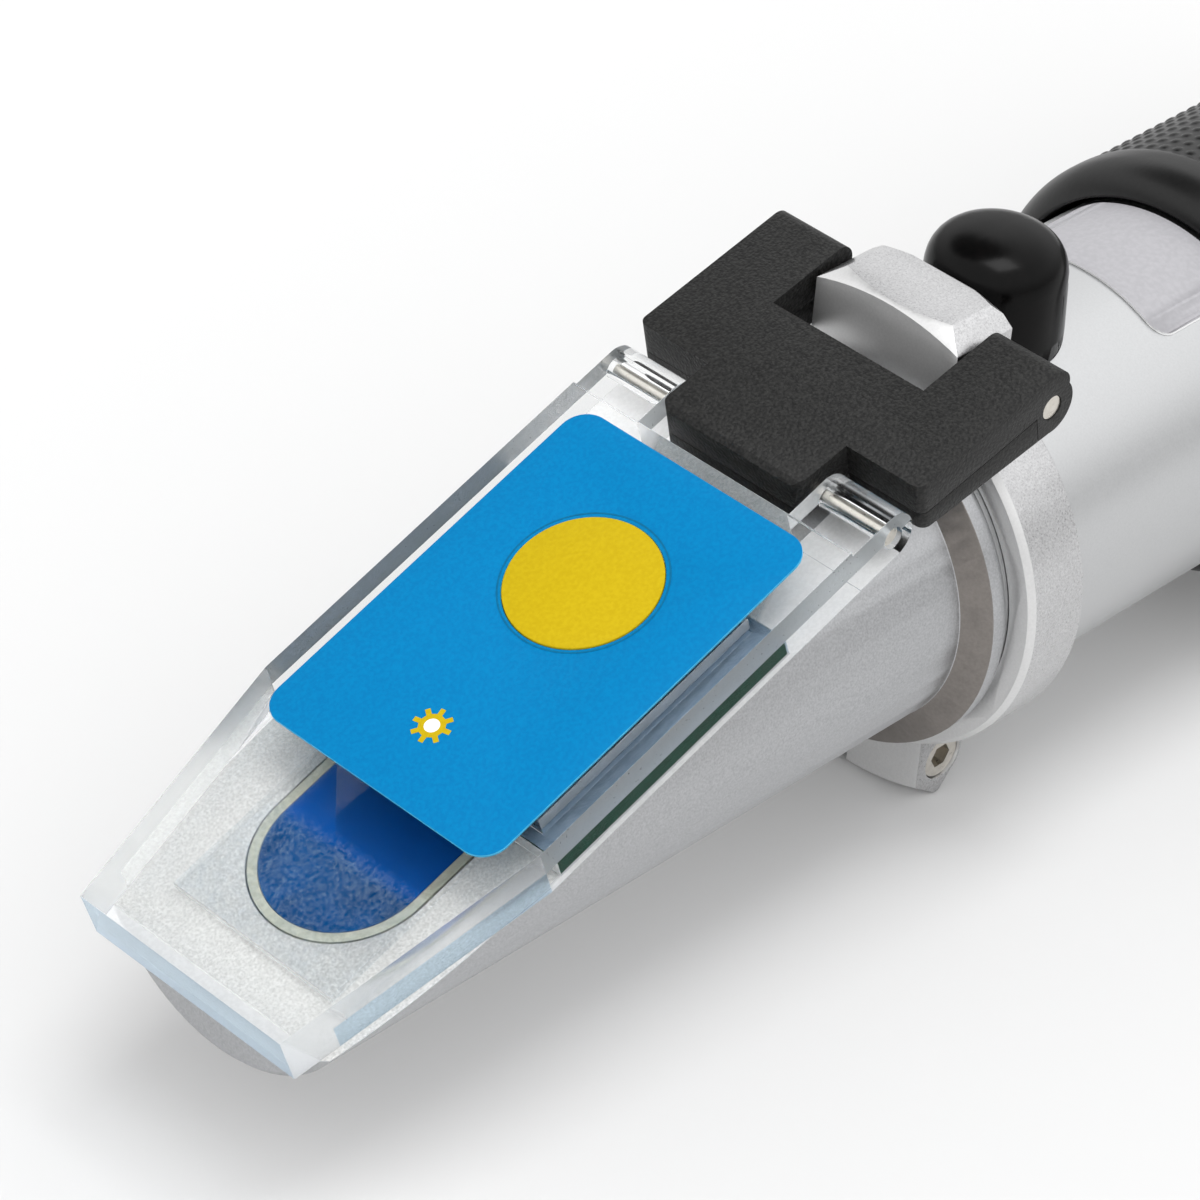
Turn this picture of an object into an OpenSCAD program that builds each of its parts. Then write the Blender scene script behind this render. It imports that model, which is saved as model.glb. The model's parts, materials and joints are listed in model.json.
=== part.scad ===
/* [Body] */
// outer radius of the body tube
tube_r = 14; // [13.9:0.05:14.1]
// wall of the body tube
tube_wall = 1.8; // [1.6:0.1:2]
// where the body tube ends at the back
tube_end = 76; // [74:1:78]
// how far the housing's surface lies inside the tube's
housing_step = 1.6; // [1.4:0.1:1.8]
// distance of the nose from the back face of the clamp ring
nose = 67.4; // [66:0.2:68]
// height of the front face that the seat leaves standing at the nose
nose_height = 5.6; // [5.2:0.1:6]
// small bevel round the nose
nose_bevel = 0.4; // [0.2:0.1:0.8]
// how far the flange at the back of the housing stands out from the tube
flange_step = 0.7; // [0.5:0.1:0.9]
// width of the flange's rim
flange_width = 1.8; // [1.6:0.1:2.2]
// gap between the flange and the clamp ring
flange_gap = 0.65; // [0.55:0.05:0.85]
// length of the sloping front of the flange
flange_slope = 0.9; // [0.6:0.1:1.2]
// wall of the housing round the light way
housing_wall = 2.4; // [2.3:0.1:2.6]
// thickness of the wall under the prism seat
seat_wall = 2.4; // [2.2:0.1:2.6]

/* [Clamp ring] */
// wall of the clamp ring
ring_wall = 2.1; // [1.9:0.1:2.3]
// width of the clamp ring
ring_width = 5.75; // [5.6:0.05:5.8]
// height of the hinge boss above the ring
boss_rise = 4.5; // [4.3:0.1:4.8]
// half width of the hinge boss
boss_half = 6.6; // [6.3:0.1:6.75]
// drop of the sloping flanks of the boss
boss_flank = 1.3; // [1:0.1:1.6]
// how far the clamp lug reaches below the ring
lug_drop = 4.3; // [4.1:0.1:4.7]
// half width of the clamp lug
lug_half = 7.15; // [6.8:0.05:7.4]
// how far the lug's front face lies behind the ring's
lug_setback = 0.9; // [0.6:0.1:1.2]
// width of the slit in the clamp lug
slit = 0.9; // [0.6:0.1:1.2]
// shank radius of the clamp screw
clamp_screw_r = 1.25; // [1:0.05:1.3]
// head radius of the clamp screw
clamp_head_r = 1.75; // [1.6:0.05:1.8]

/* [Hinge bracket] */
// thickness of the bracket above the axis of the rear pin
rear_cover = 2.68; // [2.6:0.02:2.8]
// thickness of the bracket above the axis of the front pin
front_cover = 2.47; // [2.4:0.01:2.55]
// how far the bracket stands out beyond the plate on each side
bracket_margin = 0.1; // [0:0.05:0.3]
// thickness of the bracket at its front
bracket_thick = 3.95; // [3.85:0.05:4]
// half width of the front tongue
tongue_half = 6.5; // [6.2:0.1:6.7]
// how far the tongue reaches beyond the front pin's axis
tongue_reach = 2.13; // [2:0.01:2.2]
// how far the wings stay behind the front pin's axis
wing_setback = 2.77; // [2.7:0.01:2.9]
// length of the slot in front of the rear pin's axis
slot_length = 6.12; // [5.8:0.02:6.4]
// gap on each side between the boss and the slot
slot_gap = 0.45; // [0.35:0.05:0.6]
// depth of the parting line below the top face
parting = 2.6; // [2.5:0.05:2.7]
// radius of the rear hinge pin
rear_pin_r = 0.9; // [0.8:0.05:1]
// distance of the rear pin forward of the ring's back face
rear_pin_x = 3.1; // [3:0.05:3.2]
// height of the rear pin's axis above the ring
rear_pin_rise = 1.35; // [1.3:0.05:1.4]
// radius of the front hinge pin
front_pin_r = 0.8; // [0.7:0.05:0.85]

/* [Daylight plate] */
// height of the plate's top face above the tube, where it would meet the ring's back face
plate_rise = 9.2; // [9.1:0.05:9.3]
// thickness of the plate
plate_thick = 4.15; // [4.1:0.05:4.2]
// half width of the plate
plate_half = 13.1; // [12.9:0.1:13.5]
// how much narrower the plate is at its tip, on each side
tip_inset = 3.45; // [3.1:0.05:3.9]
// how far the plate reaches beyond the nose, along the plate
tip_reach = 1.95; // [1.7:0.05:2.3]
// place of the kink where the plate starts to narrow, as a share of its length
kink_share = 0.596; // [0.59:0.002:0.63]
// length of the hinge arms behind the plate's back edge
arm = 3.7; // [3.5:0.1:3.9]
// distance of the front hinge pin, along the plate
front_pin_u = 20.9; // [20.8:0.05:21]
// depth of the front hinge pin under the plate's top face
front_pin_depth = 2.25; // [2.2:0.05:2.3]
// radius of the hinge lugs
lug_r = 1.88; // [1.8:0.02:1.9]
// gap between the closed plate and the prism seat
seat_gap = 0.1; // [0.06:0.02:0.14]
// half width of the frosted contact pad
pad_half = 7.55; // [7.2:0.05:7.8]
// front edge of the frosted contact pad, as a share of the plate's length
pad_front_share = 0.89; // [0.87:0.005:0.91]
// back edge of the frosted contact pad, as a share of the plate's length
pad_back_share = 0.586; // [0.58:0.002:0.6]
// thickness of the frosted contact pad
pad_thick = 0.6; // [0.5:0.05:0.8]

/* [Prism] */
// half width of the prism window
prism_half = 6.15; // [5.9:0.05:6.3]
// front end of the prism window, as a share of the plate's length
prism_front_share = 0.837; // [0.83:0.001:0.845]
// back end of the prism window, as a share of the plate's length
prism_back_share = 0.263; // [0.24:0.001:0.3]
// width of the sealing ring round the prism
seal_width = 0.75; // [0.5:0.05:0.9]
// thickness of the sealing ring
seal_thick = 0.8; // [0.6:0.1:1]

/* [Label and lamp] */
// distance of the membrane label from the plate's back edge
label_gap = 1.3; // [1:0.1:1.6]
// front edge of the membrane label, as a share of the plate's length
label_share = 0.651; // [0.64:0.001:0.66]
// distance of the membrane label from the plate's sides
label_inset = 2.15; // [1.8:0.05:2.4]
// corner radius of the membrane label
label_corner = 2; // [1.6:0.1:2.4]
// thickness of the membrane label
label_thick = 0.25; // [0.2:0.05:0.3]
// place of the push button, as a share of the plate's length
button_share = 0.247; // [0.24:0.001:0.255]
// radius of the push button
button_r = 5.6; // [5.3:0.1:5.9]
// travel of the push button
button_travel = 0.25; // [0.2:0.01:0.28]
// back edge of the circuit board, as a share of the plate's length
board_back_share = 0.135; // [0.125:0.001:0.145]
// front edge of the circuit board, as a share of the plate's length
board_front_share = 0.569; // [0.565:0.001:0.573]
// thickness of the circuit board
board_thick = 1.45; // [1.35:0.05:1.5]
// play round the coin cell, in front and behind
cell_play = 0.4; // [0.3:0.05:0.6]

/* [Calibration] */
// gap between the ring's back face and the rubber cap
cap_gap = 0.6; // [0.5:0.1:0.7]
// radius of the rubber cap at its foot
cap_r = 5.4; // [5.2:0.1:5.5]
// height of the rubber cap above the tube
cap_rise = 7.8; // [7.4:0.1:8.2]
// radius of the threaded bushing under the cap
bushing_r = 3.6; // [3.4:0.1:3.8]
// shank radius of the calibration screw
cal_screw_r = 1.5; // [1.4:0.05:1.55]

/* [Grip and eyepiece] */
// front edge of the tube label
tube_label_front = 16.4; // [16:0.1:17]
// angle the tube label covers on each side of the top
tube_label_angle = 33; // [30:1:36]
// front end of the rubber grip
grip_front = 26.4; // [26:0.1:27]
// length of the tube's end that the grip leaves bare
grip_setback = 5; // [4.5:0.5:7]
// thickness of the rubber grip
grip_thick = 2.8; // [2.4:0.1:3.2]
// thickness of the rear collar over the tube
collar_thick = 1.6; // [1.3:0.1:1.9]
// how far the rear collar's rim reaches behind the tube
collar_reach = 2.5; // [2.2:0.1:2.8]
// thickness of the focusing ring, measured from the tube's surface
focus_thick = 2.8; // [2.4:0.1:3.2]
// length of the focusing ring's knurled part
focus_length = 12.5; // [12:0.1:13]
// number of grooves in the focusing ring
focus_grooves = 40; // [32:2:44]
// wall of the lens barrel round the eye lens
barrel_wall = 2.7; // [2.6:0.1:2.9]
// length of the eyecup behind the focusing ring
eyecup_length = 11.5; // [10.5:0.1:12.5]
// length of the straight rim of the eyecup
eyecup_rim = 4; // [3.6:0.1:4.4]
// travel of the eye lens barrel
focus_travel = 2.4; // [2:0.1:2.6]

/* [Hidden] */
$fn = 96;
tube_bore = tube_r - tube_wall;
housing_r = tube_r - housing_step;
bore_r = housing_r - housing_wall;
flange_r = tube_r + flange_step;
flange_back = ring_width + flange_gap;
flange_front = flange_back + flange_width;
ring_r = tube_r + ring_wall;
ring_front = -ring_width;
boss_top = ring_r + boss_rise;
rest_height = ring_r + lug_drop;
lug_front = ring_front + lug_setback;
clamp_screw_x = lug_front + 2.75;
clamp_screw_z = -ring_r - 1.15;
rear_pin_z = ring_r + rear_pin_rise;
slot_half = boss_half + slot_gap;
bracket_half = plate_half + bracket_margin;
// the prism seat slopes from under the plate's height at the ring down to the nose
plate_height = tube_r + plate_rise;
seat_z = -plate_thick - seat_gap;
seat_fall = plate_height + housing_r - nose_height;
plate_tilt = asin(seat_fall / norm([nose, seat_fall])) + asin(seat_z / norm([nose, seat_fall]));
tip = nose * cos(plate_tilt) + seat_fall * sin(plate_tilt) + tip_reach;
tip_half = plate_half - tip_inset;
back_edge = front_pin_u + arm;
plate_length = tip - back_edge;
kink = back_edge + kink_share * plate_length;
pad_front = back_edge + pad_front_share * plate_length;
pad_back = back_edge + pad_back_share * plate_length;
prism_front = back_edge + prism_front_share * plate_length;
prism_back = back_edge + prism_back_share * plate_length;
label_back = back_edge + label_gap;
label_front = back_edge + label_share * plate_length;
label_half = plate_half - label_inset;
button_u = back_edge + button_share * plate_length;
board_back = back_edge + board_back_share * plate_length;
board_front = back_edge + board_front_share * plate_length;
hollow_front = board_front - 0.9;
dome_r = 1.6;
lamp_front = hollow_front - 0.3;
lamp_back = lamp_front - 0.8;
// the coin cell lies midway between the switch dome and the lamp
cell_u = (lamp_back + button_u + dome_r) / 2;
cell_r = (lamp_back - button_u - dome_r) / 2 - cell_play;
// pins in the tube's frame, and the slope of the bracket that covers them
front_x = front_pin_u * cos(plate_tilt) - front_pin_depth * sin(plate_tilt);
front_z = plate_height - front_pin_u * sin(plate_tilt) - front_pin_depth * cos(plate_tilt);
pin_fall = rear_pin_z - front_z;
pin_gap = norm([front_x - rear_pin_x, pin_fall]);
bracket_tilt = asin(pin_fall / pin_gap) + asin((rear_cover - front_cover) / pin_gap);
bracket_height = rear_pin_z + (rear_cover + rear_pin_x * sin(bracket_tilt)) / cos(bracket_tilt);
rear_u = rear_pin_x * cos(bracket_tilt) + (bracket_height - rear_pin_z) * sin(bracket_tilt);
front_u = rear_u + sqrt(pin_gap * pin_gap - pow(rear_cover - front_cover, 2));
tongue_front = front_u + tongue_reach;
wing_front = front_u - wing_setback;
slot_front = rear_u + slot_length;
cap_x = cap_gap + cap_r;
cap_top = tube_r + cap_rise;
grip_end = tube_end - grip_setback;
grip_r = tube_r + grip_thick;
collar_r = tube_r + collar_thick;
collar_back = tube_end + collar_reach;
focus_r = tube_r + focus_thick;
focus_back = collar_back + focus_length;
eyecup_back = focus_back + eyecup_length;
guide_r = tube_r - 0.4;
guide_bore = tube_bore - 0.1;
guide_back = focus_back - 1;
eye_lens_r = guide_bore - barrel_wall;
lens_seat = focus_back - 2;
x_mid = (eyecup_back - tip * cos(plate_tilt)) / 2;
board_z = -plate_thick + board_thick + 0.02;
roof = 0.95;
cell_thick = -board_z - roof - 0.1;
carrier_front = 4.6;
carrier_back = 15;
objective_x = carrier_front + 4.4;
reticle_x = tube_end - 18;
key_x = collar_back + 4.5;

// the whole instrument stands with its lug and eyecup on the bench
module place() {
    translate([-x_mid, 0, rest_height]) children();
}

// a profile of [radius, distance] turned round the tube axis
module turned() {
    rotate([0, 90, 0]) rotate_extrude() children();
}

module rod_x(x, r, h) {
    translate([x, 0, 0]) rotate([0, 90, 0]) cylinder(r = r, h = h);
}

module cone_x(x, r1, r2, h) {
    translate([x, 0, 0]) rotate([0, 90, 0]) cylinder(r1 = r1, r2 = r2, h = h);
}

module rod_y(x, z, r, half) {
    translate([x, half, z]) rotate([90, 0, 0]) cylinder(r = r, h = 2 * half);
}

// local frame of the plate: -x runs forward along it, z is up from its top face
module on_plate() {
    translate([0, 0, plate_height]) rotate([0, -plate_tilt, 0]) children();
}

// local frame of the bracket: -x runs forward along it, z is up from its top face
module on_bracket() {
    translate([0, 0, bracket_height]) rotate([0, -bracket_tilt, 0]) children();
}

// a slab lying between two distances and two heights of a local frame
module slab(front, back, half, low, high) {
    translate([-front, -half, low]) cube([front - back, 2 * half, high - low]);
}

module racetrack(front, back, half) {
    translate([-(front - half), 0]) circle(half);
    translate([-(back + half), 0]) circle(half);
    translate([-(front - half), -half]) square([front - back - 2 * half, 2 * half]);
}

module rounded_rect(front, back, half, corner) {
    translate([-front + corner, -half]) square([front - back - 2 * corner, 2 * half]);
    translate([-front, -half + corner]) square([front - back, 2 * (half - corner)]);
    for (u = [front - corner, back + corner])
        for (side = [-1, 1])
            translate([-u, side * (half - corner)]) circle(corner);
}

module prism_housing() {
    color("silver") difference() {
        union() {
            cone_x(-nose, housing_r - nose_bevel, housing_r, nose_bevel);
            rod_x(-nose + nose_bevel, housing_r, nose - nose_bevel - flange_back);
            cone_x(-flange_front - flange_slope, housing_r, flange_r, flange_slope);
            rod_x(-flange_front, flange_r, flange_front - flange_back);
            rod_x(-flange_back, tube_bore - 0.05, flange_back + 4);
        }
        on_plate() slab(2 * nose, 0, 2 * tube_r, seat_z, 3 * tube_r);
        intersection() {
            rod_x(-nose + 5.4, bore_r, nose + 5);
            on_plate() slab(2 * nose, -nose, 2 * tube_r, -nose, seat_z - seat_wall);
        }
        on_plate() translate([0, 0, seat_z - seat_wall - 1]) linear_extrude(seat_wall + 2)
            racetrack(prism_front + 0.05, prism_back - 0.05, prism_half + 0.05);
        on_plate() translate([0, 0, seat_z - seal_thick]) linear_extrude(seal_thick + 1)
            racetrack(prism_front + seal_width + 0.1, prism_back - seal_width - 0.1, prism_half + seal_width + 0.1);
    }
}

module main_prism() {
    toe_x = -(prism_front - 1.3) * cos(plate_tilt) - (seat_z - seat_wall) * sin(plate_tilt);
    toe_z = plate_height - (prism_front - 1.3) * sin(plate_tilt) + (seat_z - seat_wall) * cos(plate_tilt);
    heel_x = -(prism_back + 1.5) * cos(plate_tilt) - (seat_z - seat_wall) * sin(plate_tilt);
    heel_z = plate_height - (prism_back + 1.5) * sin(plate_tilt) + (seat_z - seat_wall) * cos(plate_tilt);
    block_half = prism_half - 0.75;
    color("navy") union() {
        on_plate() translate([0, 0, seat_z - seat_wall - 0.2]) linear_extrude(seat_wall + 0.23)
            racetrack(prism_front, prism_back, prism_half);
        translate([0, block_half, 0]) rotate([90, 0, 0]) linear_extrude(2 * block_half)
            polygon([[toe_x, toe_z], [heel_x, heel_z], [heel_x, toe_z - 1.05], [toe_x + 3.4, toe_z - 1.05]]);
    }
}

module prism_seal() {
    color("beige") on_plate() translate([0, 0, seat_z - seal_thick + 0.02]) linear_extrude(seal_thick)
        difference() {
            racetrack(prism_front + seal_width, prism_back - seal_width, prism_half + seal_width);
            racetrack(prism_front + 0.05, prism_back - 0.05, prism_half + 0.05);
        }
}

module body_tube() {
    color("silver") difference() {
        rod_x(-flange_back + 0.05, tube_r, tube_end + flange_back - 0.05);
        rod_x(-flange_back - 1, tube_bore, tube_end + flange_back + 2);
        translate([cap_x, 0, 0]) cylinder(r = bushing_r - 0.6, h = 2 * tube_r);
        translate([cap_x, 0, tube_r - 0.6]) cylinder(r = bushing_r + 0.05, h = 5);
    }
}

module clamp_ring() {
    color("silver") difference() {
        union() {
            turned() polygon([[tube_r + 0.05, ring_front], [ring_r - 0.35, ring_front],
                [ring_r, ring_front + 0.55], [ring_r, -0.2], [ring_r - 0.2, 0], [tube_r + 0.05, 0]]);
            intersection() {
                translate([ring_front, 0, 0]) rotate([90, 0, 90]) linear_extrude(ring_width)
                    polygon([[-boss_half, tube_r - 4], [boss_half, tube_r - 4], [boss_half, boss_top - boss_flank],
                        [boss_half - 1.7, boss_top], [-boss_half + 1.7, boss_top],
                        [-boss_half, boss_top - boss_flank]]);
                cone_x(ring_front, boss_top - 0.2, boss_top - 0.2 + 6 * 0.65, 6);
                cone_x(-6, boss_top + 0.2 + 6 * 0.65, boss_top + 0.2, 6);
            }
            intersection() {
                rotate([90, 0, 0]) translate([0, 0, -lug_half]) linear_extrude(2 * lug_half) lug_side();
                cone_x(lug_front, rest_height - 0.3, rest_height - 0.3 + 6 * 0.65, 6);
            }
        }
        rod_x(ring_front - 1, tube_r + 0.05, ring_width + 2);
        translate([ring_front - 1, -slit / 2, -rest_height - 1])
            cube([ring_width + 2, slit, lug_drop + ring_wall + 2]);
        rod_y(-rear_pin_x, rear_pin_z, rear_pin_r + 0.02, bracket_half);
        rod_y(clamp_screw_x, clamp_screw_z, clamp_screw_r + 0.05, bracket_half);
        translate([clamp_screw_x, -lug_half + 2.4, clamp_screw_z]) rotate([90, 0, 0])
            cylinder(r = clamp_head_r + 0.1, h = 10);
    }
}

// side outline of the lug, rounded behind the clamp screw
module lug_side() {
    round_r = clamp_head_r + 0.3;
    fall = rest_height + clamp_screw_z;
    side = round_r * sqrt(1 - pow(round_r / fall, 2));
    translate([clamp_screw_x, clamp_screw_z]) circle(round_r);
    polygon([[lug_front, -tube_r + 1], [lug_front, -rest_height], [clamp_screw_x, -rest_height],
        [clamp_screw_x + side, clamp_screw_z - round_r * round_r / fall],
        [clamp_screw_x, clamp_screw_z], [clamp_screw_x + round_r, clamp_screw_z],
        [clamp_screw_x + round_r, -tube_r + 1]]);
}

module clamp_screw() {
    color("gray") translate([clamp_screw_x, 0, clamp_screw_z]) rotate([90, 0, 0]) difference() {
        union() {
            translate([0, 0, -lug_half + 0.3]) cylinder(r = clamp_screw_r, h = 2 * lug_half - 2.7);
            translate([0, 0, lug_half - 2.4]) cylinder(r = clamp_head_r, h = 2.2);
        }
        translate([0, 0, lug_half - 1.6]) cylinder(r = 1, h = 3, $fn = 6);
    }
}

module rear_hinge_pin() {
    color("gainsboro") rod_y(-rear_pin_x, rear_pin_z, rear_pin_r, bracket_half - 0.1);
}

// side outline of the bracket, x forward and y up, before it is split
module bracket_side() {
    translate([-rear_u, -rear_cover]) circle(rear_cover - 0.55);
    translate([-rear_u + 0.65, -1.3]) circle(1.3);
    polygon([[-rear_u + 0.65, 0], [-tongue_front + 0.4, 0], [-tongue_front, -0.4],
        [-tongue_front + 0.1, -bracket_thick], [-wing_front, -bracket_thick],
        [-rear_u - 0.3, -rear_cover - 2.08], [-rear_u, -rear_cover], [-rear_u + 1.9, -1.6]]);
}

// plan of the bracket with its tongue, wings, ears and slot
module bracket_plan() {
    difference() {
        union() {
            rounded_rect(wing_front, -4, bracket_half, 0.7);
            rounded_rect(tongue_front, wing_front - 3, tongue_half, 1);
        }
        translate([-slot_front, -slot_half]) square([slot_front + 6, 2 * slot_half]);
    }
}

module bracket_whole() {
    intersection() {
        translate([0, bracket_half + 1, 0]) rotate([90, 0, 0])
            linear_extrude(2 * bracket_half + 2) bracket_side();
        translate([0, 0, -2 * bracket_thick]) linear_extrude(2 * bracket_thick + 1) bracket_plan();
    }
}

module leaf_space(gap) {
    slab(tongue_front + 5, rear_u + 1.6 - gap, bracket_half + 5, -2 * bracket_thick, -parting + gap);
}

module hinge_bracket() {
    color("dimgray") difference() {
        on_bracket() difference() {
            bracket_whole();
            leaf_space(0.03);
        }
        rod_y(-rear_pin_x, rear_pin_z, rear_pin_r + 0.05, bracket_half + 1);
        rod_y(-front_x, front_z, front_pin_r + 0.02, bracket_half + 1);
    }
}

module bracket_leaf() {
    color("dimgray") difference() {
        on_bracket() intersection() {
            bracket_whole();
            leaf_space(-0.03);
        }
        rod_y(-front_x, front_z, front_pin_r + 0.02, bracket_half + 1);
    }
}

module front_hinge_pin() {
    color("gainsboro") rod_y(-front_x, front_z, front_pin_r, plate_half - 0.4);
}

module daylight_plate() {
    color("azure", 0.4) on_plate() difference() {
        union() {
            translate([0, 0, -plate_thick]) linear_extrude(plate_thick)
                polygon([[-tip, tip_half], [-kink, plate_half], [-back_edge, plate_half],
                    [-back_edge, -plate_half], [-kink, -plate_half], [-tip, -tip_half]]);
            for (side = [-1, 1]) translate([0, side * (plate_half + tongue_half + 0.6) / 2, 0]) {
                slab(back_edge + 0.5, front_pin_u, (plate_half - tongue_half - 0.6) / 2,
                    -plate_thick + 0.04, -front_pin_depth + lug_r);
                rod_y(-front_pin_u, -front_pin_depth, lug_r, (plate_half - tongue_half - 0.6) / 2);
            }
        }
        rod_y(-front_pin_u, -front_pin_depth, front_pin_r + 0.05, plate_half + 1);
        slab(board_front + 0.1, board_back - 0.1, plate_half - 0.5, -plate_thick - 1, board_z);
        slab(hollow_front, board_back + 0.9, plate_half - 2.6, -plate_thick, -roof);
        slab(pad_front + 0.05, pad_back - 0.05, pad_half + 0.05, -plate_thick - 1, -plate_thick + pad_thick);
        translate([-button_u, 0, -0.4]) cylinder(r = button_r + 0.1, h = 1);
        translate([-button_u, 0, board_z + 0.2]) cylinder(r = 1.6, h = plate_thick);
    }
}

module contact_pad() {
    color("white", 0.6) on_plate() slab(pad_front, pad_back, pad_half, -plate_thick, -plate_thick + pad_thick);
}

module circuit_board() {
    color("darkgreen") on_plate() slab(board_front, board_back, plate_half - 0.6, -plate_thick + 0.02, board_z);
}

module lamp() {
    color("ivory") on_plate() slab(lamp_front, lamp_back, 1.6, board_z, board_z + 1.1);
}

module coin_cell() {
    color("silver") on_plate() translate([-cell_u, 0, board_z]) {
        cylinder(r = cell_r, h = cell_thick - 0.3);
        cylinder(r = cell_r - 0.8, h = cell_thick);
    }
}

module switch_dome() {
    color("silver") on_plate() translate([-button_u, 0, board_z]) {
        cylinder(r = dome_r, h = 0.5);
        cylinder(r = dome_r - 0.6, h = 0.8);
    }
}

module membrane_label() {
    color("dodgerblue") on_plate() linear_extrude(label_thick) difference() {
        rounded_rect(label_front, label_back, label_half, label_corner);
        translate([-button_u, 0]) circle(button_r + 0.05);
    }
}

module push_button() {
    color("gold") on_plate() translate([-button_u, 0, 0]) {
        translate([0, 0, -0.1]) cylinder(r = button_r, h = label_thick + 0.2);
        translate([0, 0, board_z + 0.8 + button_travel + 0.03]) cylinder(r = 1.4, h = -board_z - 0.9 - button_travel);
    }
}

module calibration_bushing() {
    color("silver") translate([cap_x, 0, 0]) difference() {
        union() {
            translate([0, 0, tube_bore + 0.05]) cylinder(r = bushing_r - 0.65, h = 2);
            translate([0, 0, tube_r - 0.6]) cylinder(r = bushing_r, h = 4.8);
        }
        cylinder(r = cal_screw_r + 0.05, h = 2 * tube_r);
        translate([0, 0, tube_r + 2.6]) cylinder(r = 2.5, h = 5);
    }
}

module calibration_screw() {
    color("gray") translate([cap_x, 0, 0]) difference() {
        union() {
            translate([0, 0, tube_bore - 0.05]) cylinder(r = cal_screw_r, h = tube_r + 2.9 - tube_bore);
            translate([0, 0, tube_r + 2.65]) cylinder(r = 2.4, h = 1.3);
        }
        translate([-4, -0.3, tube_r + 3.3]) cube([8, 0.6, 2]);
    }
}

module calibration_cap() {
    dome = 3.1;
    color("black") difference() {
        translate([cap_x, 0, 0]) rotate_extrude() {
            polygon([[0, tube_r - 2], [cap_r, tube_r - 2], [cap_r, tube_r + 0.3],
                [cap_r - 0.2, cap_top - dome], [cap_r - 0.2 - dome, cap_top], [0, cap_top]]);
            intersection() {
                translate([cap_r - 0.2 - dome, cap_top - dome]) circle(dome);
                translate([0, cap_top - dome]) square([20, 20]);
            }
        }
        rod_x(-tube_r, tube_r + 0.06, 4 * tube_r);
        translate([cap_x, 0, 0]) cylinder(r = bushing_r + 0.06, h = tube_r + 4.5);
    }
}

module tube_label() {
    half = (tube_r + 0.15) * sin(tube_label_angle);
    color("whitesmoke") intersection() {
        difference() {
            rod_x(0, tube_r + 0.18, grip_front + 5);
            rod_x(-1, tube_r + 0.02, grip_front + 7);
        }
        rotate([0, 0, 180]) linear_extrude(2 * tube_r) rounded_rect(grip_front - 0.1, tube_label_front, half, 1.5);
    }
}

module rubber_grip() {
    color("black") turned() difference() {
        union() {
            translate([tube_r + 0.05, grip_front + 0.9])
                square([grip_thick - 0.05, grip_end - grip_front - 1.8]);
            translate([tube_r + 0.05, grip_front]) square([grip_r - tube_r - 0.95, grip_end - grip_front]);
            translate([grip_r - 0.9, grip_front + 0.9]) circle(0.9);
            translate([grip_r - 0.9, grip_end - 0.9]) circle(0.9);
        }
        translate([grip_r + 0.1, grip_front + 5]) circle(0.6);
        translate([grip_r + 0.1, grip_end - 5]) circle(0.6);
    }
}

module lens_carrier() {
    color("black") difference() {
        rod_x(carrier_front, tube_bore - 0.1, carrier_back - carrier_front);
        rod_x(carrier_front - 1, tube_bore - 4.2, 30);
        rod_x(objective_x, tube_bore - 3.1, 30);
        translate([carrier_front - 1, -2.1, -tube_bore]) cube([30, 4.2, 1.3]);
    }
}

// a lens with a flat rim and a domed back face
module lens(x, r, rim, curve) {
    bulge = curve - sqrt(curve * curve - (r - 1.4) * (r - 1.4));
    turned() {
        translate([0, x]) square([r, rim]);
        intersection() {
            translate([0, x + rim + bulge - curve]) circle(curve, $fn = 360);
            translate([0, x + rim / 2]) square([r - 1.4, rim + bulge]);
        }
    }
}

module objective_lens() {
    color("lightcyan", 0.5) lens(objective_x + 0.02, tube_bore - 3.2, 2, 2.4 * tube_bore);
}

module objective_retainer() {
    color("black") difference() {
        rod_x(objective_x + 2.05, tube_bore - 3.15, 2.4);
        rod_x(objective_x + 2, tube_bore - 4.4, 5);
    }
}

module bimetal_strip() {
    color("peru") translate([carrier_front + 0.2, -2, -tube_bore + 0.75]) cube([25, 4, 0.5]);
}

module reticle_holder() {
    color("black") difference() {
        rod_x(reticle_x - 2, tube_bore - 0.05, 6);
        rod_x(reticle_x - 3, tube_bore - 3.6, 10);
        rod_x(reticle_x, tube_bore - 1.6, 10);
    }
}

module reticle_disc() {
    color("lightcyan", 0.5) rod_x(reticle_x, tube_bore - 1.65, 1.5);
}

module rear_collar() {
    color("silver") difference() {
        union() {
            rod_x(grip_end + 0.3, collar_r, collar_back - grip_end - 0.3);
            rod_x(collar_back - 1, guide_r, guide_back - collar_back + 1);
        }
        rod_x(grip_end - 1, tube_r + 0.05, tube_end - grip_end + 1.05);
        rod_x(grip_end - 1, guide_bore, guide_back - grip_end + 2);
        translate([key_x - 2, -0.8, 0]) cube([focus_travel + 4.1, 1.6, 2 * tube_r]);
    }
}

module guide_key() {
    color("gray") translate([key_x, 0, guide_bore - 0.7]) cylinder(r = 0.7, h = 2);
}

module lens_barrel() {
    color("black") difference() {
        rod_x(collar_back - 1, guide_bore - 0.05, focus_length + 4.5);
        rod_x(collar_back - 2, eye_lens_r - 0.8, focus_length + 6);
        rod_x(lens_seat, eye_lens_r + 0.1, 10);
        translate([key_x, 0, 0]) cylinder(r = 0.72, h = 2 * tube_r);
    }
}

module eye_lens() {
    color("lightcyan", 0.5) lens(lens_seat + 0.02, eye_lens_r, 2.3, 3 * eye_lens_r);
}

module eye_lens_retainer() {
    color("black") difference() {
        rod_x(lens_seat + 2.35, eye_lens_r + 0.05, 2.1);
        rod_x(lens_seat + 2, eye_lens_r - 1.3, 5);
    }
}

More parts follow.
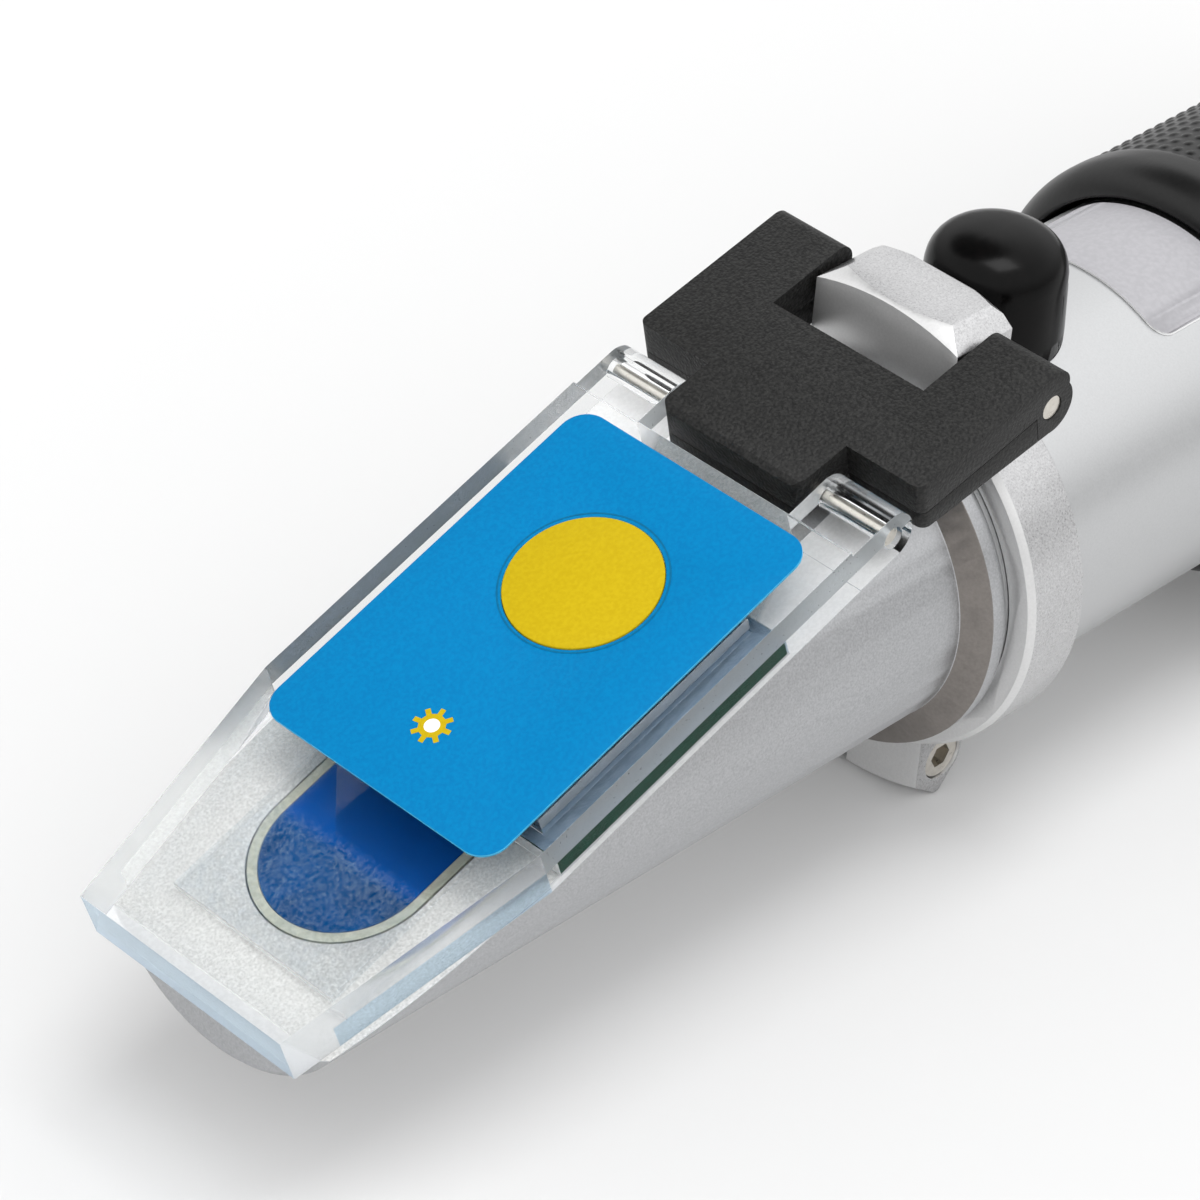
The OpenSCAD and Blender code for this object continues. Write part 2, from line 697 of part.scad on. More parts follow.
module focus_ring() {
    color("black") difference() {
        union() {
            rod_x(collar_back + 0.4, focus_r, focus_back - collar_back - 0.4);
            rod_x(focus_back - 1, tube_r + 0.8, 6);
            rod_x(focus_back + 3, tube_r + 1.4, 2);
        }
        rod_x(collar_back - 1, guide_r + 0.05, guide_back - collar_back + 1.4);
        rod_x(collar_back, tube_r - 1.1, focus_length + 10);
        for (i = [0 : focus_grooves - 1])
            rotate([i * 360 / focus_grooves, 0, 0]) translate([collar_back + 2.4, 0, focus_r + 0.15])
                rotate([0, 90, 0]) cylinder(r = 0.6, h = focus_back - collar_back - 4.4, $fn = 24);
    }
}

module eyecup() {
    color("black") turned() difference() {
        polygon([[tube_r - 4, focus_back + 0.1], [tube_r + 2.4, focus_back + 0.1],
            [tube_r + 3.4, focus_back + 2], [rest_height, eyecup_back - eyecup_rim - 0.5], [rest_height, eyecup_back - 0.5],
            [rest_height - 0.5, eyecup_back], [tube_r - 4, eyecup_back]]);
        polygon([[0, 0], [tube_r + 0.85, 0], [tube_r + 0.85, focus_back + 2.95],
            [tube_r + 1.45, focus_back + 2.95], [tube_r + 1.45, focus_back + 5.05],
            [tube_r + 2.2, focus_back + 6], [rest_height - 1.9, eyecup_back - 1.2],
            [rest_height - 1.4, eyecup_back + 1], [0, eyecup_back + 1]]);
    }
}

place() prism_housing();
place() main_prism();
place() prism_seal();
place() body_tube();
place() clamp_ring();
place() clamp_screw();
place() rear_hinge_pin();
place() hinge_bracket();
place() bracket_leaf();
place() front_hinge_pin();
place() daylight_plate();
place() contact_pad();
place() circuit_board();
place() lamp();
place() coin_cell();
place() switch_dome();
place() membrane_label();
place() push_button();
place() calibration_bushing();
place() calibration_screw();
place() calibration_cap();
place() tube_label();
place() rubber_grip();
place() lens_carrier();
place() objective_lens();
place() objective_retainer();
place() bimetal_strip();
place() reticle_holder();
place() reticle_disc();
place() rear_collar();
place() guide_key();
place() lens_barrel();
place() eye_lens();
place() eye_lens_retainer();
place() focus_ring();
place() eyecup();
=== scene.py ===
import bpy, json
from math import radians, sin, cos, pi
from mathutils import Matrix, Vector


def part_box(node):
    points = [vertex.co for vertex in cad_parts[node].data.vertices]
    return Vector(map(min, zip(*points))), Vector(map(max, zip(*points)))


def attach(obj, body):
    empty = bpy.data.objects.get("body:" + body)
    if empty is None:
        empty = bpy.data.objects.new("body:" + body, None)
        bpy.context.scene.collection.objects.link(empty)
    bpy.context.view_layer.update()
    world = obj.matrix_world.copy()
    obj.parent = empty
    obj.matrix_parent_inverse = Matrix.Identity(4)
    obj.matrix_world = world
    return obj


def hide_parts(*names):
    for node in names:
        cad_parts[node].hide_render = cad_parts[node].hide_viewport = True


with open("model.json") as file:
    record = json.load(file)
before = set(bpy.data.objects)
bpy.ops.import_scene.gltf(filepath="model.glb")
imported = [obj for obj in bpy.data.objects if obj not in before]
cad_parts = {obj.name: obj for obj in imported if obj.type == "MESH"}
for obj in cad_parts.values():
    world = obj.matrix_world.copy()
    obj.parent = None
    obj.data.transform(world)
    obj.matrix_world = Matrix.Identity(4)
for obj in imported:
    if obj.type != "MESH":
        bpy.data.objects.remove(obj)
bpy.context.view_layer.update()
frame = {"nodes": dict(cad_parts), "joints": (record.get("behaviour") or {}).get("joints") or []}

mm = 0.001
sameSpot = 0.002  # millimetres within which two corners of a CAD mesh are one
near = 0.01  # millimetres within which a corner lies on a plane
# how square to a direction a face stands: the cosine of the angle between the two
facing = {"loosely": 0.5, "mostly": 0.7, "well": 0.9, "closely": 0.95, "flat": 0.99, "fully": 0.995}
bpy.ops.object.select_all(action="DESELECT")
print("frame loaded")


# an sRGB hex code becomes the linear values that shaders take
def hexToLinear(code):
    values = [int(code[i:i + 2], 16) / 255 for i in (1, 3, 5)]
    return [v / 12.92 if v <= 0.04045 else ((v + 0.055) / 1.055) ** 2.4 for v in values] + [1]


# its plain values go by the names of the shader's inputs, with _ for a space
def newMaterial(name, **inputs):
    material = bpy.data.materials.new(name)
    material.use_nodes = True
    shader = material.node_tree.nodes["Principled BSDF"]
    for key, value in inputs.items():
        shader.inputs[key.replace("_", " ")].default_value = value
    return material, material.node_tree, shader


# adds one node: settings go on the node, values and sockets go into its inputs
def addNode(tree, kind, settings=None, inputs=None):
    node = tree.nodes.new(kind)
    for key, value in (settings or {}).items():
        setattr(node, key, value)
    for key, value in (inputs or {}).items():
        if isinstance(value, bpy.types.NodeSocket):
            tree.links.new(value, node.inputs[key])
        else:
            node.inputs[key].default_value = value
    return node


# grain given as a real size in millimetres becomes a noise scale
def scaleFor(grainMm):
    return 1 / (grainMm * mm)


# stops are pairs of a position and a linear colour
def setRamp(node, stops):
    ramp = node.color_ramp
    while len(ramp.elements) > 1:
        ramp.elements.remove(ramp.elements[-1])
    ramp.elements[0].position, ramp.elements[0].color = stops[0]
    for position, colour in stops[1:]:
        ramp.elements.new(position).color = colour


# a CAD node that is shown as it is gets one material
def paint(nodeName, material):
    node = frame["nodes"][nodeName]
    node.data.materials.clear()
    node.data.materials.append(material)


# a piece modelled on a CAD node's own mesh: its triangles are joined to whole faces, cut where
# its finish changes, and its edges rounded; edges that turn less than angle degrees stay as they
# are, and with facets given, faces that meet at less than that many degrees shade as one
def dressed(nodeName, pieceName, bodyName, edge, angle=30, steps=2, cuts=(), shape=None,
            facets=None):
    node = frame["nodes"][nodeName]
    mesh = node.data.copy()
    mesh.transform(node.matrix_world)
    piece = bpy.data.objects.new(pieceName, mesh)
    bpy.context.scene.collection.objects.link(piece)
    bpy.ops.object.select_all(action="DESELECT")
    piece.select_set(True)
    bpy.context.view_layer.objects.active = piece
    bpy.ops.object.mode_set(mode="EDIT")
    bpy.ops.mesh.select_all(action="SELECT")
    bpy.ops.mesh.remove_doubles(threshold=sameSpot * mm)
    bpy.ops.mesh.dissolve_limited(angle_limit=radians(0.5))  # joins what lies in one plane
    for place, normal in cuts:
        bpy.ops.mesh.select_all(action="SELECT")
        bpy.ops.mesh.bisect(plane_co=place, plane_no=normal)
    bpy.ops.mesh.select_all(action="SELECT")
    bpy.ops.mesh.normals_make_consistent(inside=False)
    bpy.ops.object.mode_set(mode="OBJECT")
    if shape:
        shape(piece)
    bpy.ops.object.shade_smooth()
    if edge:
        bevel = piece.modifiers.new("edges", "BEVEL")
        bevel.width, bevel.segments, bevel.angle_limit = edge * mm, steps, radians(angle)
        bevel.harden_normals = not facets
        bpy.ops.object.modifier_apply(modifier=bevel.name)
    if facets or not edge:
        bpy.ops.object.shade_smooth_by_angle(angle=radians(facets or angle))
    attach(piece, bodyName)
    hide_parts(nodeName)
    return piece


def cover(piece, *materials):
    piece.data.materials.clear()
    for material in materials:
        piece.data.materials.append(material)


# gives the faces that pass a test one of the materials that cover the piece
def finishFaces(piece, material, test):
    number = piece.data.materials.find(material.name)
    for face in piece.data.polygons:
        if test(face):
            face.material_index = number


# metals: bead blasted and clear anodised aluminium has a soft wide shine with a grain like fine
# sand, drawn a little coarser than the real 0.08 mm so that it shows at this distance; spread
# says how softly the grain's two tones meet, wear how much its shine varies
def makeBlasted(name, colours, roughness, grainMm, spread, depthMm, metallic=1.0, wear=0.06):
    material, tree, shader = newMaterial(name, Metallic=metallic)
    place = addNode(tree, "ShaderNodeTexCoord").outputs["Object"]
    grain = addNode(tree, "ShaderNodeTexNoise", None,
                    {"Vector": place, "Scale": scaleFor(grainMm), "Detail": 2.0,
                     "Roughness": 0.6}).outputs["Fac"]
    tone = addNode(tree, "ShaderNodeValToRGB", None, {"Fac": grain})
    setRamp(tone, [(0.5 - spread, hexToLinear(colours[0])),
                   (0.5 + spread, hexToLinear(colours[1]))])
    shine = addNode(tree, "ShaderNodeMapRange", None,
                    {"Value": grain, "From Min": 0.3, "From Max": 0.7,
                     "To Min": roughness - wear, "To Max": roughness + wear})
    bump = addNode(tree, "ShaderNodeBump", None,
                   {"Height": grain, "Strength": 0.5, "Distance": depthMm * mm})
    tree.links.new(tone.outputs["Color"], shader.inputs["Base Color"])
    tree.links.new(shine.outputs["Result"], shader.inputs["Roughness"])
    tree.links.new(bump.outputs["Normal"], shader.inputs["Normal"])
    return material


# the housing's barrel, dull silver grey
housingAluminium = makeBlasted(
    "housing aluminium bead blasted", ("#A3A4A6", "#BABBBD"),
    roughness=0.36, grainMm=0.16, spread=0.2, depthMm=0.012)
# the tube is drawn, so nearly without grain
tubeAluminium = makeBlasted(
    "tube aluminium satin anodised", ("#BFC0C1", "#C8C9CA"),
    roughness=0.34, grainMm=0.16, spread=0.25, depthMm=0.004)
# the ring sparkles more than the housing
ringAluminium = makeBlasted(
    "ring aluminium coarse blasted", ("#B2B2B3", "#D2D2D3"),
    roughness=0.32, grainMm=0.15, spread=0.2, depthMm=0.012)
# turned faces are smoother than blasted ones; they are also painted brighter and less metallic: a
# painted highlight
ringFrontPaintedHighlight = makeBlasted(
    "ring aluminium turned with painted highlight", ("#D2D2D2", "#DEDEDE"),
    roughness=0.38, grainMm=0.2, spread=0.3, depthMm=0.001, metallic=0.7)
# the flange's slope is a little duller, and painted darker and brownish: painted shade on the faces
# that lean forward
flangeSlopePaintedShade = makeBlasted(
    "flange aluminium with painted shade", ("#7E7975", "#8C8783"),
    roughness=0.4, grainMm=0.3, spread=0.25, depthMm=0.004)
# the prism's seat is painted almost white and less metallic: painted light for how brightly it
# shows under the plate
seatPaintedLight = makeBlasted(
    "seat aluminium with painted light", ("#BFBFBD", "#E8E8E6"),
    roughness=0.6, grainMm=0.2, spread=0.2, depthMm=0.01, metallic=0.4)
# pins and screws, smooth and slightly warm
steelPin = makeBlasted(
    "pin steel drawn", ("#CEC9C0", "#DAD6CE"),
    roughness=0.32, grainMm=0.4, spread=0.2, depthMm=0.002)

# height of the tube's axis, read off the turned eyecup, and the tube's radius in millimetres
axisHeight = (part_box("eyecup")[0][2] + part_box("eyecup")[1][2]) / 2
tubeRadius = (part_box("body_tube")[1][1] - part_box("body_tube")[0][1]) / 2 / mm


# the way out from the tube's axis, and the distance from it in millimetres
def outwards(point):
    return Vector((0, point.y, point.z - axisHeight)).normalized()


def reach(point):
    return Vector((point.y, point.z - axisHeight)).length / mm


# the label's plane: its outward normal is the way the button comes back up
joints = {joint["name"]: joint for joint in frame["joints"]}
upFromPlate = -Vector(joints["button_press"]["axis"]).normalized()
alongPlate = Vector((-upFromPlate.z, 0, upFromPlate.x))

barrel = {
    "edge": 0.12,
    "seatLeast": 2,  # the seat is a wider face than this
    "slopeTilt": 0.3,  # the flange's slope leans forward more than this
    "slopeReach": 12.55,  # and lies farther from the axis
    "rim": 14.7,  # the flange's radius
    "rimNear": 0.02,  # how near to it a corner counts as on it
    "rimRound": 0.75,  # how far its back edge is turned round
    "rimSteps": 5,
    "ringGap": 0.65,  # between the flange and the clamp ring
}


# the flange's back edge is turned well round
def roundFlange(piece):
    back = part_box("clamp_ring")[0][0] - barrel["ringGap"] * mm
    bpy.ops.object.mode_set(mode="EDIT")
    bpy.ops.mesh.select_mode(type="EDGE")
    bpy.ops.mesh.select_all(action="DESELECT")
    bpy.ops.object.mode_set(mode="OBJECT")
    corners = piece.data.vertices
    for edge in piece.data.edges:
        ends = [corners[i].co for i in edge.vertices]
        edge.select = all(abs(end.x - back) < near * mm and
                          abs(reach(end) - barrel["rim"]) < barrel["rimNear"] for end in ends)
    bpy.ops.object.mode_set(mode="EDIT")
    bpy.ops.mesh.bevel(offset=barrel["rimRound"] * mm, segments=barrel["rimSteps"])
    bpy.ops.object.mode_set(mode="OBJECT")


housing = dressed("prism_housing", "housingBody", "instrument", barrel["edge"], shape=roundFlange)
cover(housing, housingAluminium, flangeSlopePaintedShade, seatPaintedLight)
# painted shade on the flange's forward-leaning slope
finishFaces(housing, flangeSlopePaintedShade, lambda face: face.normal.x < -barrel["slopeTilt"]
            and reach(face.center) > barrel["slopeReach"])
# painted light on the seat's wide faces
finishFaces(housing, seatPaintedLight, lambda face: face.normal.dot(upFromPlate) > facing["flat"]
            and face.area > (barrel["seatLeast"] * mm) ** 2)

clamp = {
    "edge": 0.14,
    "turnedTilt": 0.25,  # faces that lean forward more than this were turned
}
ring = dressed("clamp_ring", "clampRing", "instrument", clamp["edge"])
cover(ring, ringAluminium, ringFrontPaintedHighlight)
# painted highlight on the ring's forward-leaning faces
finishFaces(ring, ringFrontPaintedHighlight, lambda face: face.normal.x < -clamp["turnedTilt"])
for nodeName in ("body_tube", "rear_collar"):
    paint(nodeName, tubeAluminium)
for nodeName in ("rear_hinge_pin", "front_hinge_pin", "clamp_screw", "calibration_screw",
                 "guide_key", "coin_cell", "switch_dome", "calibration_bushing",
                 "bimetal_strip"):
    paint(nodeName, steelPin)
print("metals done")


# plastics, rubber, film and print: a moulded face with a fine pebbled grain
def makeMoulded(name, colours, roughness, grainMm, depthMm, specular=0.5):
    material, tree, shader = newMaterial(name, Roughness=roughness, Specular_IOR_Level=specular)
    place = addNode(tree, "ShaderNodeTexCoord").outputs["Object"]
    grain = addNode(tree, "ShaderNodeTexNoise", None,
                    {"Vector": place, "Scale": scaleFor(grainMm), "Detail": 1.5,
                     "Roughness": 0.5}).outputs["Fac"]
    tone = addNode(tree, "ShaderNodeValToRGB", None, {"Fac": grain})
    setRamp(tone, [(0.35, hexToLinear(colours[0])), (0.68, hexToLinear(colours[1]))])
    bump = addNode(tree, "ShaderNodeBump", None,
                   {"Height": grain, "Strength": 0.6, "Distance": depthMm * mm})
    tree.links.new(tone.outputs["Color"], shader.inputs["Base Color"])
    tree.links.new(bump.outputs["Normal"], shader.inputs["Normal"])
    return material


# fine sparkling grain, nearly black
bracketPlastic = makeMoulded("bracket nylon fine moulded", ("#070707", "#252524"),
                             roughness=0.48, grainMm=0.24, depthMm=0.11, specular=0.3)
# smooth and deep black, with a soft highlight
capRubber = makeMoulded("cap rubber smooth", ("#030303", "#060505"),
                        roughness=0.22, grainMm=0.6, depthMm=0.004, specular=0.12)
gripRubber = makeMoulded("grip rubber smooth", ("#060606", "#0B0B0B"),
                         roughness=0.34, grainMm=0.4, depthMm=0.01, specular=0.35)
eyecupRubber = makeMoulded("eyecup rubber matt", ("#121212", "#191919"),
                           roughness=0.5, grainMm=0.5, depthMm=0.02)
focusPlastic = makeMoulded("focus ring ABS", ("#141414", "#1E1E1E"),
                           roughness=0.42, grainMm=0.4, depthMm=0.03)
# a printed film, pebbled in front, so its colour hardly shines
labelBlue = makeMoulded("label polyester blue pebbled", ("#0074AE", "#007CB5"),
                        roughness=0.55, grainMm=0.3, depthMm=0.04, specular=0.06)
# its cut edge is painted brighter: a painted highlight where it catches the light
labelEdge = makeMoulded("label polyester blue cut edge with painted highlight", ("#3AAEDC", "#48B8E0"),
                        roughness=0.4, grainMm=0.3, depthMm=0.01)
buttonYellow = makeMoulded("button polyester yellow pebbled", ("#BDA20C", "#C4AA12"),
                           roughness=0.55, grainMm=0.3, depthMm=0.04, specular=0.08)
inkTeal = makeMoulded("ink teal", ("#07638C", "#096A94"),
                      roughness=0.45, grainMm=0.3, depthMm=0.01, specular=0.1)
inkWhite = makeMoulded("ink white", ("#FAFAF4", "#FFFFFF"),
                       roughness=0.45, grainMm=0.3, depthMm=0.01)
# pale and dull, a little green
sealGrey = makeMoulded("sealing compound", ("#AFB1A2", "#C2C4B5"),
                       roughness=0.6, grainMm=0.4, depthMm=0.02)
boardGreen = makeMoulded("circuit board solder resist", ("#0E3427", "#143E30"),
                         roughness=0.45, grainMm=0.5, depthMm=0.01, specular=0.1)
# the board's upper face is pale blue under its adhesive, and painted lighter still: painted light
# that lifts it out of the shade under the plate and label
boardFacePaintedLight = makeMoulded("circuit board under adhesive with painted light", ("#8CA3BA", "#98AEC4"),
                        roughness=0.5, grainMm=0.5, depthMm=0.01)
lampPlastic = makeMoulded("lamp moulded", ("#E6E2C4", "#F2EED4"),
                          roughness=0.3, grainMm=0.4, depthMm=0.01)
# the label on the tube, a cool light grey; its cut edge is painted brighter: painted light that
# lifts it out of its shade
labelFilm = makeMoulded("tube label satin film", ("#A6A5A9", "#ADACB0"),
                        roughness=0.5, grainMm=0.4, depthMm=0.004)
labelFilmEdgePaintedLight = makeMoulded("tube label cut edge with painted light", ("#E2E2E2", "#E8E8E8"),
                            roughness=0.4, grainMm=0.4, depthMm=0.004)

cross = {
    "sharp": 35,  # edges turning more than this many degrees are rounded
    "upperEdge": 0.3,
    "upperSteps": 3,
    "lowerEdge": 0.2,
    "lowerSteps": 2,
}
bracket = dressed("hinge_bracket", "bracketUpper", "bracket", cross["upperEdge"],
                  cross["sharp"], cross["upperSteps"])
cover(bracket, bracketPlastic)
leaf = dressed("bracket_leaf", "bracketLower", "bracket", cross["lowerEdge"],
               cross["sharp"], cross["lowerSteps"])
cover(leaf, bracketPlastic)
for nodeName, material in {"eyecup": eyecupRubber, "focus_ring": focusPlastic,
                           "prism_seal": sealGrey, "lamp": lampPlastic}.items():
    paint(nodeName, material)
board = dressed("circuit_board", "lampBoard", "plate", 0)
cover(board, boardGreen, boardFacePaintedLight)
# painted light on the board's upper face
finishFaces(board, boardFacePaintedLight, lambda face: face.normal.dot(upFromPlate) > facing["well"])
film = dressed("tube_label", "tubeLabelFilm", "instrument", 0)
cover(film, labelFilmEdgePaintedLight, labelFilm)
# every face but the outer one keeps the cut edge's painted light
finishFaces(film, labelFilm,
            lambda face: face.normal.dot(outwards(face.center)) > facing["well"])

cap = {
    "crown": 3.15,  # how far below the top it is sliced
    "side": 5.2,  # radius where the dome starts
    "dome": 3.9,  # the dome's height
    "fullness": 2.7,  # 2 is a plain ellipse, more is squarer
    "rings": 12,  # steps from its foot to its tip
    "tip": 0.02,  # the last ring's share of the radius, before it is closed
    "sharp": 40,  # degrees between faces that still shade as one
}


# the cap's flat crown is sliced off, the cut edge moved to where the roundness starts and a
# dome drawn up from it
def domeCap(piece):
    low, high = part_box("calibration_cap")
    middle = Vector(((low[0] + high[0]) / 2, (low[1] + high[1]) / 2, 0))
    cut = Vector((0, 0, high[2] - cap["crown"] * mm))
    bpy.ops.object.mode_set(mode="EDIT")
    bpy.ops.mesh.select_all(action="SELECT")
    bpy.ops.mesh.bisect(plane_co=cut, plane_no=(0, 0, 1), clear_outer=True)
    bpy.ops.mesh.select_mode(type="EDGE")
    bpy.ops.mesh.select_all(action="DESELECT")
    bpy.ops.mesh.select_non_manifold(extend=False)
    bpy.ops.object.mode_set(mode="OBJECT")
    foot = Vector((0, 0, high[2] - cap["dome"] * mm))
    for vertex in piece.data.vertices:
        if vertex.select:
            out = Vector((vertex.co.x - middle.x, vertex.co.y - middle.y, 0)).normalized()
            vertex.co = middle + out * cap["side"] * mm + foot
    bpy.ops.object.mode_set(mode="EDIT")
    before, height = 1.0, 0.0
    for i in range(1, cap["rings"] + 1):
        turn = pi / 2 * i / cap["rings"]
        power = 2 / cap["fullness"]
        radius = max(cos(turn), 0.0) ** power if i < cap["rings"] else cap["tip"]
        rise = cap["dome"] * sin(turn) ** power
        bpy.ops.mesh.extrude_edges_move(
            TRANSFORM_OT_translate={"value": (0, 0, (rise - height) * mm)})
        bpy.ops.transform.resize(value=(radius / before, radius / before, 1),
                                 center_override=middle)
        before, height = radius, rise
    bpy.ops.mesh.merge(type="CENTER")
    bpy.ops.mesh.select_all(action="SELECT")
    bpy.ops.mesh.normals_make_consistent(inside=False)
    bpy.ops.object.mode_set(mode="OBJECT")


capPiece = dressed("calibration_cap", "calibrationCap", "cap", 0, cap["sharp"], shape=domeCap)
cover(capPiece, capRubber)
print("plastics done")


# a profile of (distance along the tube, radius) in millimetres, spun round the tube's axis
def spun(name, profile, steps):
    bpy.ops.object.select_all(action="DESELECT")
    bpy.ops.mesh.primitive_plane_add(size=mm)
    piece = bpy.context.object
    piece.name = name
    bpy.ops.object.mode_set(mode="EDIT")
    bpy.ops.mesh.select_mode(type="VERT")
    bpy.ops.mesh.select_all(action="SELECT")
    bpy.ops.mesh.merge(type="CENTER")
    bpy.ops.transform.translate(value=(profile[0][0] * mm, 0, axisHeight + profile[0][1] * mm))
    for (x0, r0), (x1, r1) in zip(profile, profile[1:]):
        bpy.ops.mesh.extrude_vertices_move(
            TRANSFORM_OT_translate={"value": ((x1 - x0) * mm, 0, (r1 - r0) * mm)})
    bpy.ops.mesh.select_all(action="SELECT")
    bpy.ops.mesh.spin(steps=steps, angle=2 * pi, center=(0, 0, axisHeight), axis=(1, 0, 0))
    bpy.ops.mesh.select_all(action="SELECT")
    bpy.ops.mesh.remove_doubles(threshold=near * mm)
    bpy.ops.mesh.normals_make_consistent(inside=False)
    bpy.ops.object.mode_set(mode="OBJECT")
    return piece


# a quarter of an ellipse, from the tube out to the bead's top
def roundedEnd(x0, length, low, high, parts=9):
    turns = [pi / 2 * i / parts for i in range(parts + 1)]
    return [(x0 + length * (1 - cos(turn)), low + (high - low) * sin(turn)) for turn in turns]


# the grip has a smooth bead at both ends and rows of small raised lozenges between them
grip = {
    "bead": 5.2,  # how wide the smooth bead is
    "roundEnd": 3.2,  # how much of it is rounded
    "shoulder": 0.5,  # the bead's top ends this far from the lozenges
    "shoulderDrop": 0.02,
    "step": 0.15,  # and steps down this far from them
    "stepDrop": 0.2,
    "lozenge": 1.3,  # from one lozenge to the next
    "rise": 0.15,
    "gap": 0.36,  # between two lozenges
    "slope": 0.2,  # width of a lozenge's sloping side
    "sunk": 0.12,  # lozenges stay this far below the bead's top
    "inner": 0.1,  # play round the tube
    "floorNear": 0.05,  # how near to the floor a face counts as part of it
}
gripLow, gripHigh = [[value / mm for value in corner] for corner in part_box("rubber_grip")]
gripRadius = (gripHigh[2] - gripLow[2]) / 2
gripInner = tubeRadius + grip["inner"]
gripFloor = gripRadius - grip["rise"] - grip["sunk"]
shoulder, step = gripRadius - grip["shoulderDrop"], gripRadius - grip["stepDrop"]
front, back = gripLow[0], gripHigh[0]
sleeveFront, sleeveBack = front + grip["bead"], back - grip["bead"]
rows = round((sleeveBack - sleeveFront) / grip["lozenge"])
columns = round(2 * pi * gripRadius / grip["lozenge"])
profile = roundedEnd(front, grip["roundEnd"], gripInner, gripRadius)
profile += [(sleeveFront - grip["shoulder"], shoulder), (sleeveFront - grip["step"], step)]
profile += [(sleeveFront + (sleeveBack - sleeveFront) * i / rows, gripFloor)
            for i in range(rows + 1)]
profile += [(sleeveBack + grip["step"], step), (sleeveBack + grip["shoulder"], shoulder)]
profile += roundedEnd(back, -grip["roundEnd"], gripInner, gripRadius)[::-1]
profile += [(front, gripInner)]
gripPiece = spun("gripSleeve", profile, columns)
bpy.ops.object.mode_set(mode="EDIT")
bpy.ops.mesh.select_mode(type="FACE")
bpy.ops.mesh.select_all(action="DESELECT")
bpy.ops.object.mode_set(mode="OBJECT")
for face in gripPiece.data.polygons:
    face.select = (abs(reach(face.center) - gripFloor) < grip["floorNear"]
                   and sleeveFront < face.center.x / mm < sleeveBack)
bpy.ops.object.mode_set(mode="EDIT")
bpy.ops.mesh.inset(use_individual=True, thickness=grip["gap"] / 2 * mm)
bpy.ops.mesh.inset(use_individual=True, thickness=grip["slope"] * mm, depth=grip["rise"] * mm)
bpy.ops.object.mode_set(mode="OBJECT")
soften = gripPiece.modifiers.new("soften", "SUBSURF")
soften.levels = soften.render_levels = 1
bpy.ops.object.modifier_apply(modifier=soften.name)
bpy.ops.object.shade_smooth()
cover(gripPiece, gripRubber)
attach(gripPiece, "instrument")
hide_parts("rubber_grip")
print("grip done")


# print on the label is placed from the middle of the button's top face; labelPlane turns a mark
# made flat at the origin into the label's plane
button = frame["nodes"]["push_button"]
buttonPoints = [button.matrix_world @ vertex.co for vertex in button.data.vertices]
buttonTop = max(point.dot(upFromPlate) for point in buttonPoints)
rim = [point for point in buttonPoints if point.dot(upFromPlate) > buttonTop - near * mm]
buttonCentre = sum(rim, Vector()) / len(rim)
labelPlane = Matrix((alongPlate, Vector((0, -1, 0)), upFromPlate)).transposed().to_4x4()

marks = {
    "labelBelowButton": 0.1,  # from the button's top down to the label's face
    "thickness": 0.03,
    "height": 0.005,  # of the outline and the sun over the label
    "outlineInner": 5.88,
    "outlineOuter": 6.0,
    "outlineSteps": 96,
    "sunDistance": 14.7,  # from the button's middle towards the front
    "sunRadius": 0.98,
    "sunRay": 0.5,  # length of a ray
    "sunRays": 8,
    "coreRadius": 0.56,
    "coreHeight": 0.02,  # the white core lies on the sun
    "coreEdge": 0.01,
    "coreSteps": 32,
}
films = {
    "labelEdge": 0.06,  # rounding of the cut edges
    "buttonEdge": 0.08,
}


def labelSpot(distance, height):
    over = (height - marks["labelBelowButton"]) * mm
    return buttonCentre + alongPlate * distance * mm + upFromPlate * over


# a thin printed mark: made flat at the origin, then laid on the label
def layOnLabel(piece, name, distance, height, material):
    piece.name = name
    piece.data.transform(Matrix.Translation(labelSpot(distance, height)) @ labelPlane)
    piece.matrix_world = Matrix.Identity(4)
    cover(piece, material)
    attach(piece, "plate")


# leaves the disc in edit mode, ready to have its faces picked
def flatDisc(radius, vertices):
    bpy.ops.object.select_all(action="DESELECT")
    bpy.ops.mesh.primitive_cylinder_add(radius=radius * mm, depth=marks["thickness"] * mm,
                                        vertices=vertices)
    bpy.ops.object.mode_set(mode="EDIT")
    bpy.ops.mesh.select_mode(type="FACE")
    return bpy.context.object


# the outline round the button: a disc with its middle taken out
outline = flatDisc(marks["outlineOuter"], marks["outlineSteps"])
bpy.ops.mesh.select_all(action="DESELECT")
bpy.ops.object.mode_set(mode="OBJECT")
for face in outline.data.polygons:
    face.select = abs(face.normal.z) > facing["loosely"]
bpy.ops.object.mode_set(mode="EDIT")
bpy.ops.mesh.inset(use_individual=True,
                   thickness=(marks["outlineOuter"] - marks["outlineInner"]) * mm)
bpy.ops.mesh.bridge_edge_loops()
bpy.ops.object.mode_set(mode="OBJECT")
layOnLabel(outline, "buttonOutline", 0, marks["height"], inkTeal)

